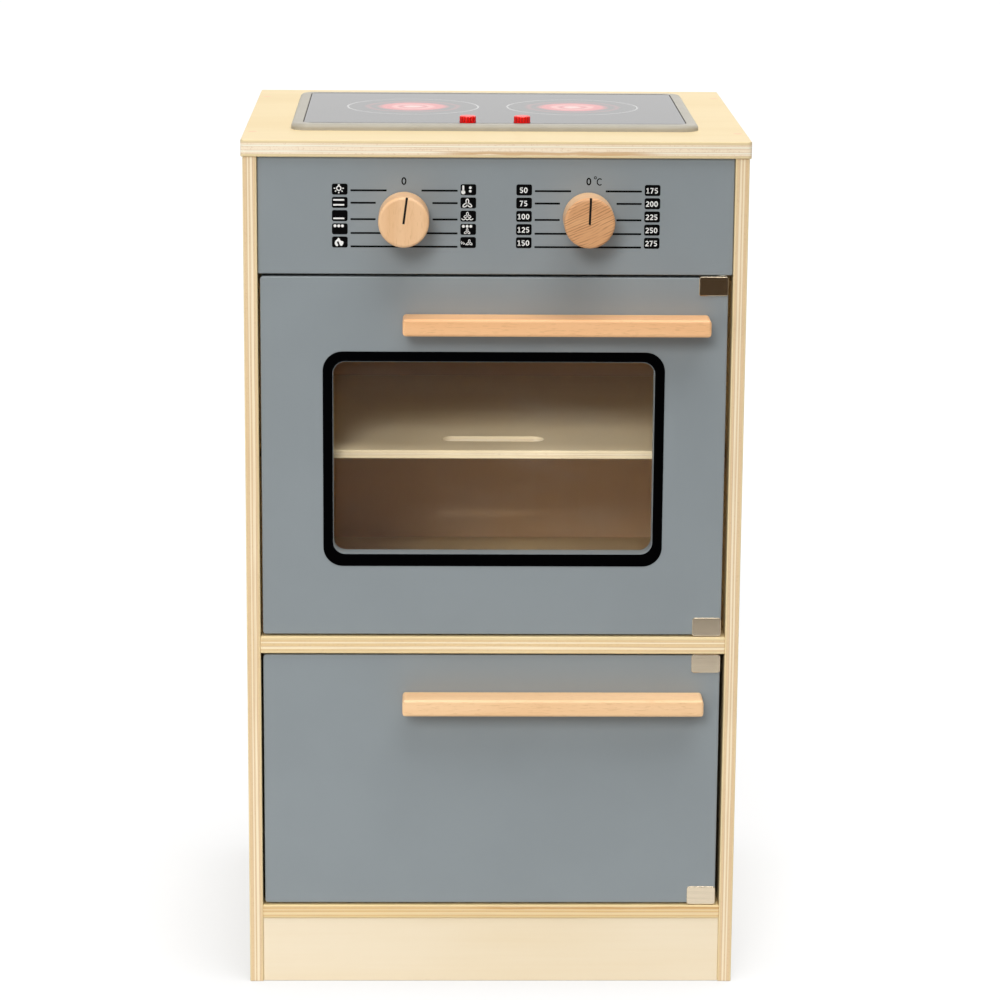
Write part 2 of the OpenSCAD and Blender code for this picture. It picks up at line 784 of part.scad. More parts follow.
// Moulded frame: the rim lies on the worktop and the skirt goes down through it
module hob_frame() {
    color(rim_grey) at_hob() {
        difference() {
            union() {
                rolled_plate(hob_w, hob_d, hob_h, hob_r, hob_edge);
                translate([0, 0, skirt_down]) linear_extrude(-skirt_down + 1)
                    rounded_rect(skirt[0], skirt[1], skirt_r);
            }
            translate([0, 0, cover_seat]) linear_extrude(hob_h)
                rounded_rect(hob_w - 2 * lip, hob_d - 2 * lip, hob_r - 5);
            translate([0, 0, skirt_down - 1]) linear_extrude(hob_h - skirt_down + 2)
                rounded_rect(cavity[0], cavity[1], skirt_r - skirt_t);
        }
        corner_places(boss_at) difference() {
            translate([0, 0, skirt_down + base_t]) cylinder(h = -skirt_down - 4, d = boss_d);
            translate([0, 0, skirt_down]) cylinder(h = base_screw[1] + 2, d = base_screw[0] + 2 * clear);
        }
    }
}

module at_buttons() {
    for (side = [-1, 1]) translate([side * button_spacing / 2, -button_front, 0]) children();
}

// Glossy dark cover panel, let into the rim, with a hole for each button
module hob_cover() {
    color(cover_black) at_hob() difference() {
        translate([0, 0, cover_seat]) linear_extrude(cover_t)
            rounded_rect(hob_w - 2 * lip - 0.4, hob_d - 2 * lip - 0.4, hob_r - 5.2);
        at_buttons() cylinder(h = 10, d = button_d + 0.5);
    }
}

// Tray under the unit: battery box, speaker grille, and posts on which the circuit board is staked
module hob_base() {
    post_h = board_top - board_t - skirt_down;
    color(housing_black) at_hob() translate([0, 0, skirt_down]) difference() {
        union() {
            linear_extrude(base_t) rounded_rect(cavity[0] - 0.4, cavity[1] - 0.4, skirt_r - skirt_t);
            translate(battery_at) linear_extrude(base_t + cell_d + 2.4)
                rounded_rect(battery_box[0] + 4, battery_box[1] + 4, 3);
            translate(cover_screw_at) cylinder(h = base_screw[1], d = boss_d);
            translate([0, board_mid, 0]) corner_places(board_post_at) {
                cylinder(h = post_h, d = 6);
                cylinder(h = post_h + board_t + 1, d = stake_d);
                translate([0, 0, post_h + board_t]) cylinder(h = 1, d = 5);
            }
        }
        corner_places(boss_at) translate([0, 0, -1])
            cylinder(h = base_t + 2, d = base_screw[0] + 2 * clear);
        translate([cover_screw_at[0], cover_screw_at[1], -1])
            cylinder(h = base_screw[1], d = base_screw[0] + 2 * clear);
        translate([battery_at[0], battery_at[1], -1]) linear_extrude(base_t + cell_d + 1.4)
            rounded_rect(battery_box[0], battery_box[1], 2);
        translate([speaker_at[0], speaker_at[1], -1]) {
            cylinder(h = base_t + 2, d = 3);
            for (n = [6, 12], i = [0 : n - 1]) rotate(i * 360 / n) translate([n, 0, 0])
                cylinder(h = base_t + 2, d = 3);
        }
    }
}

// Four screws that hold the tray, and one through the battery cover
module hob_screws() {
    color(zinc) at_hob() {
        corner_places(boss_at) translate([0, 0, skirt_down]) mirror([0, 0, 1]) pan_screw(base_screw);
        translate([cover_screw_at[0], cover_screw_at[1], skirt_down - battery_cover_t])
            mirror([0, 0, 1]) pan_screw(base_screw);
    }
}

// Push button: ribbed cap, flange that stops it under the cover, and a stem over its switch
module button(side) {
    r = button_d / 2;
    color(button_red) at_hob() translate([side * button_spacing / 2, -button_front, 0]) {
        difference() {
            union() {
                translate([0, 0, button_base]) cylinder(h = button_up - button_base - 0.6, r = r - 0.1);
                translate([0, 0, button_up - 0.6]) cylinder(h = 0.6, r1 = r - 0.1, r2 = r - 0.7);
            }
            for (i = [0 : flutes - 1]) rotate(i * 360 / flutes)
                translate([r + 0.25, 0, cover_seat + cover_t + 0.2])
                    cylinder(h = button_up, r = 0.75, $fn = 24);
        }
        translate([0, 0, button_base]) cylinder(h = button_flange[1], d = button_flange[0]);
        translate([0, 0, stem_down]) cylinder(h = button_base - stem_down, d = stem_d);
    }
}

module left_button() { button(-1); }

module right_button() { button(1); }

// Compression spring: a round wire swept along a helix between the board and the button's flange
spring = [5.3, 0.8, 5];             // mean radius, wire diameter and turns
spring_sides = 6;
spring_steps = 12;                  // rings in a turn
spring_z = [board_top + spring[1] / 2 + clear, button_base - spring[1] / 2 - clear];

module button_spring(side) {
    rings = spring[2] * spring_steps;
    end = rings * spring_sides;
    points = [for (i = [0 : rings], k = [0 : spring_sides - 1])
        let (a = i * 360 / spring_steps, b = k * 360 / spring_sides,
            r = spring[0] + spring[1] / 2 * cos(b),
            z = spring_z[0] + (spring_z[1] - spring_z[0]) * i / rings + spring[1] / 2 * sin(b))
        [r * cos(a), r * sin(a), z]];
    walls = [for (i = [0 : rings - 1], k = [0 : spring_sides - 1])
        let (a = i * spring_sides + k, b = i * spring_sides + (k + 1) % spring_sides)
        each [[a, b, b + spring_sides], [a, b + spring_sides, a + spring_sides]]];
    start_cap = [for (k = [1 : spring_sides - 2]) [0, k + 1, k]];
    end_cap = [for (k = [1 : spring_sides - 2]) [end, end + k, end + k + 1]];
    color(zinc) at_hob() translate([side * button_spacing / 2, -button_front, 0])
        polyhedron(points, concat(walls, start_cap, end_cap));
}

module left_button_spring() { button_spring(-1); }

module right_button_spring() { button_spring(1); }

module circuit_board() {
    color(board_green) at_hob() translate([0, board_mid, board_top - board_t]) difference() {
        linear_extrude(board_t) rounded_rect(board_size[0], board_size[1], 2);
        corner_places(board_post_at) translate([0, 0, -1])
            cylinder(h = board_t + 2, d = stake_d + 2 * clear);
    }
}

// Tact switches under the button stems
module button_switches() {
    color(housing_black) at_hob() at_buttons() translate([0, 0, board_top]) {
        translate([-3, -3, 0]) cube([6, 6, switch_h]);
        cylinder(h = stem_down - board_top - button_travel - 0.1, d = 3.4);
    }
}

module ring_lamps() {
    color(lamp_red) at_hob() for (side = [-1, 1], a = [45 : 90 : 315])
        translate([side * ring_spacing / 2, ring_back, board_top]) rotate(a)
            translate([lamp_r, 0, 0]) {
                cylinder(h = 6, d = lamp_d);
                translate([0, 0, 6]) sphere(d = lamp_d);
            }
}

module speaker() {
    color(housing_black) at_hob() translate([speaker_at[0], speaker_at[1], skirt_down + base_t]) {
        difference() {
            cylinder(h = 3, d = speaker_d);
            translate([0, 0, -1]) cylinder(h = 2.5, d = speaker_d - 6);
        }
        translate([0, 0, 3]) cylinder(h = 5, d1 = speaker_d - 4, d2 = 20);
        translate([0, 0, 8]) cylinder(h = 4, d = 18);
    }
}

// Puts a part at the middle of one of the three cells, -1, 0 or 1, with local +Z towards its plus end
module at_cell(i) {
    at_hob() translate([battery_at[0], battery_at[1] + i * cell_pitch, skirt_down + cell_d / 2])
        rotate([0, i == 0 ? -90 : 90, 0]) children();
}

module battery_cells() {
    color(nickel) for (i = [-1 : 1]) at_cell(i) {
        translate([0, 0, -cell_l / 2]) cylinder(h = cell_l - 1.4, d = cell_d);
        translate([0, 0, cell_l / 2 - 1.4]) cylinder(h = 1.4, d = 5.4);
    }
}

// Plates on the ends of the battery box, each with a bump that touches its cell
module battery_contacts() {
    reach = (battery_box[0] - cell_l) / 2;
    color(zinc) for (i = [-1 : 1], end = [0, 1]) at_cell(i) mirror([0, 0, end])
        translate([0, 0, cell_l / 2]) {
            cylinder(h = reach, d1 = 4, d2 = 6);
            translate([0, 0, reach - contact[1]]) linear_extrude(contact[1])
                square(contact[0], center = true);
        }
}

// Cover over the battery box; its tab takes the screw
module battery_cover() {
    tab = 11;
    color(housing_black) at_hob() translate([battery_at[0], battery_at[1], skirt_down]) difference() {
        translate([tab / 2, 0, -battery_cover_t]) linear_extrude(battery_cover_t)
            rounded_rect(battery_box[0] + 6 + tab, battery_box[1] + 6, 4);
        translate([battery_box[0] / 2 + 7, 0, -battery_cover_t - 1])
            cylinder(h = battery_cover_t + 2, d = base_screw[0] + 2 * clear);
    }
}

side_left();
side_right();
worktop();
fascia();
oven_ceiling();
middle_shelf();
bottom_shelf();
plinth();
back_panel();
shelf_runners();
oven_shelf();
worktop_screws();
worktop_plugs();
side_screws();
side_plugs();
runner_screws();
back_screws();
hinge_bushes();
door_catches();
catch_magnets();
catch_screws();
upper_door();
window_border();
window_pane();
pane_screws();
upper_handle();
upper_handle_screws();
upper_hinge_clips();
upper_hinge_pins();
upper_hinge_screws();
upper_strike();
lower_door();
lower_handle();
lower_handle_screws();
lower_hinge_clips();
lower_hinge_pins();
lower_hinge_screws();
lower_strike();
left_knob();
left_knob_dowel();
left_knob_retainer();
right_knob();
right_knob_dowel();
right_knob_retainer();
knob_washers();
hob_frame();
hob_cover();
hob_base();
hob_screws();
left_button();
right_button();
left_button_spring();
right_button_spring();
circuit_board();
button_switches();
ring_lamps();
speaker();
battery_cells();
battery_contacts();
battery_cover();
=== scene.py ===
"""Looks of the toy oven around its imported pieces: camera, floor, light, finishes and printed dials.

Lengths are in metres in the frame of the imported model: +Z up, the front looks along -Y, and the origin is
on the floor under the middle of the oven. Sizes written with MM are in millimetres.
"""

import math

import bmesh
import bpy
import numpy as np
from mathutils import Matrix, Vector


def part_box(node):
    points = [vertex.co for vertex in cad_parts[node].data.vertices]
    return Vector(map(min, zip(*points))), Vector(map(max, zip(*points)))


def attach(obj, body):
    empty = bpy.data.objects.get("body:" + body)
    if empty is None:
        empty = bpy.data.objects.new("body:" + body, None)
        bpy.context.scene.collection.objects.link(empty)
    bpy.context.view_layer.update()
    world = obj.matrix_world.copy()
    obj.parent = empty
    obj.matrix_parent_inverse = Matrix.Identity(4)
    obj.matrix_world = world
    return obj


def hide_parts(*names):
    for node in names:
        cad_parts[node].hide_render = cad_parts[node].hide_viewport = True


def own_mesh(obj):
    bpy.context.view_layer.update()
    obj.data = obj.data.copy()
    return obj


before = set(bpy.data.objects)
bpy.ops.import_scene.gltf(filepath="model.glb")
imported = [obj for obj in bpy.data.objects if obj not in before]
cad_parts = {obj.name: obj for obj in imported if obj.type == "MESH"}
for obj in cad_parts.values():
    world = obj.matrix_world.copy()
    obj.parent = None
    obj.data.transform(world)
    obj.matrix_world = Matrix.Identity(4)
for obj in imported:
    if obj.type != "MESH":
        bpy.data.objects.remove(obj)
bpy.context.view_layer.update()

MM = 0.001
X, Y, Z = 0, 1, 2

# Colours of the finishes, as linear red, green and blue
PAINT = (0.254, 0.286, 0.300)
PRINT_BLACK = (0.0012, 0.0012, 0.0014)
PRINT_WHITE = (0.86, 0.86, 0.84)
BIRCH_FACE = (0.86, 0.70, 0.42)
SIDE_LAYERS = ((0.95, 0.82, 0.61), (0.81, 0.61, 0.37))
SHELF_LAYERS = ((0.97, 0.85, 0.63), (0.84, 0.64, 0.37))
BASE_LAYERS = ((0.88, 0.70, 0.41), (0.79, 0.55, 0.27))
WORKTOP_FACE = (0.815, 0.665, 0.40)
WORKTOP_LAYERS = ((0.98, 0.92, 0.77), (0.96, 0.83, 0.64))
# The oven shelf's birch is paler than the other boards': partly its own colour, partly painted light inside
# the oven
RACK_LAYERS_WITH_PAINTED_LIGHT = ((0.97, 0.92, 0.74), (0.97, 0.82, 0.60))
PLY_SHADE = (0.93, 0.88, 0.78)
GLUE_BROWN = (0.66, 0.45, 0.26)
PLINTH_FACE = (0.90, 0.78, 0.59)
# paler than BIRCH_FACE: partly painted light on the oven shelf
RACK_FACE_WITH_PAINTED_LIGHT = (0.97, 0.80, 0.54)
BASE_FACE = (0.84, 0.66, 0.36)
OVEN_TAN = (0.84, 0.57, 0.33)
HEARTWOOD = (0.60, 0.33, 0.11)
BEECH = (0.86, 0.55, 0.31)
BEECH_WARM = (0.92, 0.53, 0.265)
BEECH_PALE = (0.94, 0.63, 0.36)
BEECH_DEEP = (0.72, 0.385, 0.18)
BEECH_DARK = (0.66, 0.335, 0.15)
BEECH_FLECK = (0.56, 0.29, 0.12)
BEECH_RING = (0.34, 0.15, 0.055)
RIM_GREY = (0.405, 0.375, 0.31)
PANEL_DARK = (0.012, 0.011, 0.011)
# The dark of the hob's seam, which is also painted shade of the rim's lip at the front
SEAM_AND_SHADE_DARK = (0.035, 0.03, 0.026)
BUTTON_RED = (0.95, 0.003, 0.002)
# Painted shade for the buttons' grooves, then a painted highlight for their top edge
BUTTON_GROOVE_SHADE = (0.40, 0.002, 0.002)
BUTTON_TOP_HIGHLIGHT = (0.95, 0.04, 0.03)
NICKEL = (0.75, 0.64, 0.48)
ZINC = (0.66, 0.67, 0.69)
SPRING_STEEL = (0.5, 0.5, 0.52)
NYLON = (0.82, 0.80, 0.74)
FELT = (0.16, 0.155, 0.15)
MOULDED_BLACK = (0.02, 0.02, 0.022)
BOARD_GREEN = (0.02, 0.16, 0.06)
LAMP_RED = (0.75, 0.05, 0.04)
CELL_SLEEVE = (0.06, 0.07, 0.09)

# The rings on the hob, in millimetres: the radius of the thin circle and its half width without and with
# the soft edge; then a radius past the coils, and the radii at which their painted glow has these colours:
# the coils' red print given as emission, with a pale heart that is a painted reflection
RING_RADIUS, RING_HALF, RING_FADE = 46.6, 0.4, 0.9
RING_WHITE = (0.4, 0.4, 0.39)
COIL_REACH = 40.0
COIL_PRINT_AND_PAINTED_GLOW = (
    (0.0, (1.0, 0.66, 0.58)), (5.5, (1.0, 0.50, 0.46)), (7.5, (0.90, 0.14, 0.14)),
    (9.5, (0.70, 0.05, 0.06)), (12.0, (1.0, 0.36, 0.33)), (14.5, (1.0, 0.30, 0.28)),
    (16.5, (0.85, 0.08, 0.09)), (21.0, (0.85, 0.06, 0.07)), (24.0, (0.36, 0.02, 0.025)),
    (26.5, (0.02, 0.004, 0.004)), (29.5, (0.02, 0.004, 0.004)), (32.0, (0.22, 0.012, 0.015)),
    (35.0, (0.0, 0.0, 0.0)))

LAMP_REACH = 12.4 * MM  # from a ring's middle to the far end of the lamps under it


# ---------------------------------------------------------------- camera, floor and light

def add_camera():
    """The photograph's view: a long lens a little left of the middle, tilted down by 13 degrees."""
    yaw, pitch, roll = 0.02045, 0.22976, 0.00734
    data = bpy.data.cameras.new("camera")
    data.lens, data.sensor_width = 124.03, 36.0
    data.clip_start, data.clip_end = 0.1, 60.0
    camera = bpy.data.objects.new("camera", data)
    camera.matrix_world = (
        Matrix.Translation((-0.0432, -2.4464, 0.8924))
        @ Matrix.Rotation(-yaw, 4, "Z")
        @ Matrix.Rotation(math.pi / 2 - pitch, 4, "X")
        @ Matrix.Rotation(roll, 4, "Z")
    )
    bpy.context.scene.collection.objects.link(camera)
    bpy.context.scene.camera = camera


def add_sun(name, strength, azimuth, elevation, softness):
    """A sun lamp that stands at azimuth, counted from the front towards the left, and at elevation."""
    data = bpy.data.lights.new(name, "SUN")
    data.energy = strength * math.pi
    data.angle = math.radians(softness)
    lamp = bpy.data.objects.new(name, data)
    lamp.rotation_euler = (math.radians(90 - elevation), 0, math.radians(-azimuth))
    bpy.context.scene.collection.objects.link(lamp)


def add_softbox(name, strength, size, stand, target):
    """A square lamp that stands at one point and faces another, with that strength at the target."""
    stand, target = Vector(stand), Vector(target)
    data = bpy.data.lights.new(name, "AREA")
    data.size = size
    data.energy = strength * (math.pi * (target - stand).length) ** 2
    lamp = bpy.data.objects.new(name, data)
    turned = (target - stand).to_track_quat("-Z", "Y").to_matrix().to_4x4()
    lamp.matrix_world = Matrix.Translation(stand) @ turned
    lamp.visible_camera = False
    bpy.context.scene.collection.objects.link(lamp)


def add_snoot(name, strength, cone, stand, target):
    """A narrow lamp that stands at one point and faces another, with that strength at the target and a
    cone of that many degrees that fades at its edge."""
    stand, target = Vector(stand), Vector(target)
    data = bpy.data.lights.new(name, "SPOT")
    data.spot_size, data.spot_blend = math.radians(cone), 0.6
    data.shadow_soft_size = 0.02
    data.energy = strength * (2 * math.pi * (target - stand).length) ** 2
    lamp = bpy.data.objects.new(name, data)
    turned = (target - stand).to_track_quat("-Z", "Y").to_matrix().to_4x4()
    lamp.matrix_world = Matrix.Translation(stand) @ turned
    bpy.context.scene.collection.objects.link(lamp)


def seen_rays(tree):
    """1 for camera, glossy and transmission rays, which see the background, and 0 for the rest."""
    path = tree.nodes.new("ShaderNodeLightPath")
    total = path.outputs["Is Camera Ray"]
    for name in ("Is Glossy Ray", "Is Transmission Ray"):
        either = tree.nodes.new("ShaderNodeMath")
        either.operation = "MAXIMUM"
        tree.links.new(total, either.inputs[0])
        tree.links.new(path.outputs[name], either.inputs[1])
        total = either.outputs[0]
    return total


def add_world(level, room):
    """An even light of that level. Rays that see the background find it white, but gloss that looks
    forwards, past the camera, finds the dim room, which has that colour. The Y of a direction says how far
    forwards it looks, and the room turns white between two values of it."""
    dim_up_to, white_from = -0.75, -0.1
    world = bpy.data.worlds.new("studio")
    world.use_nodes = True
    tree = world.node_tree
    tree.nodes.clear()
    output = tree.nodes.new("ShaderNodeOutputWorld")
    path = tree.nodes.new("ShaderNodeLightPath")
    place = tree.nodes.new("ShaderNodeTexCoord")
    parts = tree.nodes.new("ShaderNodeSeparateXYZ")
    tree.links.new(place.outputs["Generated"], parts.inputs[0])
    forwards = tree.nodes.new("ShaderNodeMapRange")
    forwards.interpolation_type = "SMOOTHSTEP"
    forwards.inputs["From Min"].default_value = dim_up_to
    forwards.inputs["From Max"].default_value = white_from
    tree.links.new(parts.outputs["Y"], forwards.inputs["Value"])
    tint = tree.nodes.new("ShaderNodeMix")
    tint.data_type = "RGBA"
    tint.inputs[6].default_value = (*room, 1)
    tint.inputs[7].default_value = (1, 1, 1, 1)
    tree.links.new(forwards.outputs[0], tint.inputs[0])
    shades = []
    for strength in (level, 1.0, 1.0):
        shade = tree.nodes.new("ShaderNodeBackground")
        shade.inputs["Color"].default_value = (1, 1, 1, 1)
        shade.inputs["Strength"].default_value = strength
        shades.append(shade)
    tree.links.new(tint.outputs[2], shades[2].inputs["Color"])
    shown = tree.nodes.new("ShaderNodeMixShader")
    tree.links.new(seen_rays(tree), shown.inputs["Fac"])
    tree.links.new(shades[0].outputs[0], shown.inputs[1])
    tree.links.new(shades[1].outputs[0], shown.inputs[2])
    mirrored = tree.nodes.new("ShaderNodeMixShader")
    tree.links.new(path.outputs["Is Glossy Ray"], mirrored.inputs["Fac"])
    tree.links.new(shown.outputs[0], mirrored.inputs[1])
    tree.links.new(shades[2].outputs[0], mirrored.inputs[2])
    tree.links.new(mirrored.outputs[0], output.inputs["Surface"])
    bpy.context.scene.world = world


def add_floor(front, grey, seen_grey, lift):
    """A pale matt floor from front, a Y value, to far behind. Where it is looked at it has the shade
    seen_grey and is lifted to white, a little less close to what stands on it: a painted contact shadow."""
    reach, closeness, least_lift = 30.0, 90 * MM, 0.68 * lift
    mesh = bpy.data.meshes.new("floor")
    corners = [(-reach, front, 0), (reach, front, 0), (reach, reach, 0), (-reach, reach, 0)]
    mesh.from_pydata(corners, [], [(0, 1, 2, 3)])
    floor = bpy.data.objects.new("floor", mesh)
    bpy.context.scene.collection.objects.link(floor)
    material = bpy.data.materials.new("floor")
    material.use_nodes = True
    tree = material.node_tree
    tree.nodes.clear()
    output = tree.nodes.new("ShaderNodeOutputMaterial")
    sides = []
    for shade in (grey, seen_grey):
        matt = tree.nodes.new("ShaderNodeBsdfDiffuse")
        matt.inputs["Color"].default_value = (shade, shade, shade, 1)
        sides.append(matt)
    glow = tree.nodes.new("ShaderNodeEmission")
    # painted contact shadow: ambient occlusion dims the floor's glow close to the oven
    painted_contact_shadow = tree.nodes.new("ShaderNodeAmbientOcclusion")
    painted_contact_shadow.inputs["Distance"].default_value = closeness
    shade = tree.nodes.new("ShaderNodeMapRange")
    shade.inputs["To Min"].default_value = least_lift
    shade.inputs["To Max"].default_value = lift
    tree.links.new(painted_contact_shadow.outputs["AO"], shade.inputs["Value"])
    tree.links.new(shade.outputs[0], glow.inputs["Strength"])
    both = tree.nodes.new("ShaderNodeAddShader")
    tree.links.new(sides[1].outputs[0], both.inputs[0])
    tree.links.new(glow.outputs[0], both.inputs[1])
    shown = tree.nodes.new("ShaderNodeMixShader")
    tree.links.new(seen_rays(tree), shown.inputs["Fac"])
    tree.links.new(sides[0].outputs[0], shown.inputs[1])
    tree.links.new(both.outputs[0], shown.inputs[2])
    tree.links.new(shown.outputs[0], output.inputs["Surface"])
    mesh.materials.append(material)


# ---------------------------------------------------------------- finishes

class Finish:
    """A material built node by node, in which sockets pass from call to call as numbers do in a formula."""

    def __init__(self, name, **surface):
        self.material = bpy.data.materials.new(name)
        self.material.use_nodes = True
        self.tree = self.material.node_tree
        self.surface = self.tree.nodes["Principled BSDF"]
        self.place = self.node("ShaderNodeTexCoord").outputs["Object"]
        self.parts = self.node("ShaderNodeSeparateXYZ", {0: self.place}).outputs
        self.set(**surface)

    def set(self, **surface):
        """Sets or links inputs of the Principled shader; an underscore in a name stands for a space."""
        for name, value in surface.items():
            self.feed(self.surface.inputs[name.replace("_", " ")], value)

    def feed(self, socket, value):
        """Links a socket, or sets a colour or a number."""
        if isinstance(value, bpy.types.NodeSocket):
            self.tree.links.new(value, socket)
        elif isinstance(value, tuple) and len(value) == 3 and socket.type == "RGBA":
            socket.default_value = (*value, 1.0)
        else:
            socket.default_value = value

    def node(self, kind, inputs=None, **settings):
        """Adds a node with these properties, and sets or links the inputs, given by name or number."""
        node = self.tree.nodes.new(kind)
        for name, value in settings.items():
            setattr(node, name, value)
        for key, value in (inputs or {}).items():
            self.feed(node.inputs[key], value)
        return node

    def calc(self, operation, a, b=0.0, c=0.0):
        """Result of a Math node."""
        return self.node("ShaderNodeMath", {0: a, 1: b, 2: c}, operation=operation).outputs[0]

    def times(self, product, *factors):
        """Product of all the values."""
        for factor in factors:
            product = self.calc("MULTIPLY", product, factor)
        return product

    def length(self, dx, dy):
        """sqrt(dx^2 + dy^2)"""
        return self.calc("SQRT", self.calc("ADD", self.times(dx, dx), self.times(dy, dy)))

    def turned(self, a, b, angle, scale=1.0):
        """(a cos(angle) - b sin(angle)) scale"""
        return self.calc("SUBTRACT", self.times(a, math.cos(angle) * scale),
                         self.times(b, math.sin(angle) * scale))

    def mix(self, factor, a, b, how="MIX"):
        """Colour between a and b."""
        node = self.node("ShaderNodeMix", data_type="RGBA", blend_type=how)
        for index, value in ((0, factor), (6, a), (7, b)):
            self.feed(node.inputs[index], value)
        return node.outputs[2]

    def lay(self, colour, over, *masks):
        """The colour, with another laid over it by the product of the masks."""
        return self.mix(self.times(*masks), colour, over)

    def step(self, value, low, high):
        """Smooth step from 0 at low to 1 at high."""
        inputs = {"Value": value, "From Min": low, "From Max": high}
        return self.node("ShaderNodeMapRange", inputs, interpolation_type="SMOOTHSTEP").outputs[0]

    def near(self, value, middle, full, none):
        """1 where value lies within full of middle, and 0 from none outwards."""
        away = self.calc("ABSOLUTE", self.calc("SUBTRACT", value, middle))
        return self.calc("SUBTRACT", 1.0, self.step(away, full, none))

    def noise(self, scale, detail=3.0, roughness=0.5, turn=(0, 0, 0), shift=(0, 0, 0)):
        """Noise in object space; scale is one number or three, in features a metre."""
        scales = scale if isinstance(scale, tuple) else (scale,) * 3
        at = self.node("ShaderNodeMapping", {"Vector": self.place, "Location": shift, "Scale": scales})
        if any(turn):
            turned = self.node("ShaderNodeMapping", {"Vector": self.place, "Rotation": turn})
            self.tree.links.new(turned.outputs[0], at.inputs["Vector"])
        inputs = {"Vector": at.outputs[0], "Scale": 1.0, "Detail": detail, "Roughness": roughness}
        return self.node("ShaderNodeTexNoise", inputs).outputs[0]

    def bump(self, height, distance, strength=1.0):
        """Raises the surface by distance where height is 1."""
        inputs = {"Height": height, "Distance": distance, "Strength": strength}
        self.set(Normal=self.node("ShaderNodeBump", inputs).outputs[0])

    def soften(self, radius):
        """Lets the edges shine as if they were rounded by that radius; comes after the bump."""
        relief = self.surface.inputs["Normal"].links[0].from_node
        rounded = self.node("ShaderNodeBevel", {"Radius": radius}, samples=4)
        self.feed(relief.inputs["Normal"], rounded.outputs[0])


def along(axis, length, across):
    """Three scales for noise: length along one axis and across on the other two."""
    scales = [across] * 3
    scales[axis] = length
    return tuple(scales)


def plywood(name, board, thick, grain, face, layers, plies, seed, streak):
    """Layers of ply across the thick axis. The layer's number is floor(depth * plies), where the depth
    wanders a little, so that the layers differ in thickness. The outer layers have the colour of the face
    and the inner ones have the two colours of layers in turn. Brown lies inside only: as specks in every
    second layer, as thin glue lines between the layers and as fine veins along the grain. Streak is the
    middle, the half length, the lower and the upper layer of a stretch of heartwood."""
    low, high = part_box(board)
    wood = Finish(name, Roughness=0.5, Specular_IOR_Level=0.3)
    shift = (seed, seed * 0.7, seed * 1.3)
    depth = wood.calc("SUBTRACT", wood.parts[thick], low[thick])
    depth = wood.times(depth, plies / (high[thick] - low[thick]))
    wander = wood.calc("MULTIPLY_ADD", wood.noise(along(grain, 5.0, 20.0), 2.0, shift=shift), 1.0, -0.5)
    uneven = wood.times(wood.calc("SINE", wood.calc("MULTIPLY_ADD", depth, 1.9, seed)), 0.3)
    layer = wood.calc("ADD", wood.calc("ADD", depth, wander), uneven)
    layer = wood.calc("MINIMUM", wood.calc("MAXIMUM", layer, 0.01), plies - 0.01)
    number = wood.calc("FLOOR", layer)
    odd = wood.calc("FLOORED_MODULO", number, 2.0)
    last = (plies - 1) / 2
    inner = wood.near(number, last, last - 0.7, last - 0.6)
    inside = wood.near(depth, plies / 2, plies / 2 - 0.6, plies / 2 - 0.3)
    colour = wood.mix(inner, face, wood.mix(odd, *layers))

    cloud = wood.noise(along(grain, 4.0, 16.0), 2.0, shift=shift)
    fibre = wood.noise(along(grain, 7.0, 240.0), 4.0, 0.6, shift=shift)
    fine = wood.noise(along(grain, 60.0, 1500.0), 2.0, 0.6, shift=shift)
    soft = wood.calc("MULTIPLY_ADD", wood.step(cloud, 0.35, 0.7), 0.5, wood.times(fibre, 0.5))
    colour = wood.mix(soft, colour, PLY_SHADE, "MULTIPLY")

    speck = wood.step(wood.noise(900.0, 3.0, 0.6), 0.52, 0.75)
    colour = wood.lay(colour, GLUE_BROWN, speck, odd, inside, 0.55)
    seam = wood.calc("SUBTRACT", 1.0, wood.near(wood.calc("FRACT", layer), 0.5, 0.34, 0.48))
    held = wood.step(wood.noise(along(grain, 12.0, 60.0), 2.0, shift=shift), 0.3, 0.55)
    colour = wood.lay(colour, GLUE_BROWN, seam, held, inside, 0.75)
    vein = wood.step(wood.noise(along(grain, 10.0, 1100.0), 2.0, 0.5, shift=shift), 0.6, 0.68)
    colour = wood.lay(colour, GLUE_BROWN, vein, inside, 0.35)
    if streak:
        middle, half, under, over = streak
        stretch = wood.near(wood.parts[grain], middle, half * 0.6, half)
        ragged = wood.calc("MULTIPLY_ADD", wood.noise(along(grain, 40.0, 400.0), 3.0), 1.6, -0.8)
        height = wood.near(wood.calc("ADD", depth, ragged), (under + over) / 2, (over - under) / 5,
                           (over - under) / 2)
        colour = wood.lay(colour, HEARTWOOD, stretch, height, 0.7)
    wood.set(Base_Color=colour)
    wood.bump(wood.calc("ADD", fibre, wood.times(fine, 0.5)), 0.06 * MM)
    return wood.material


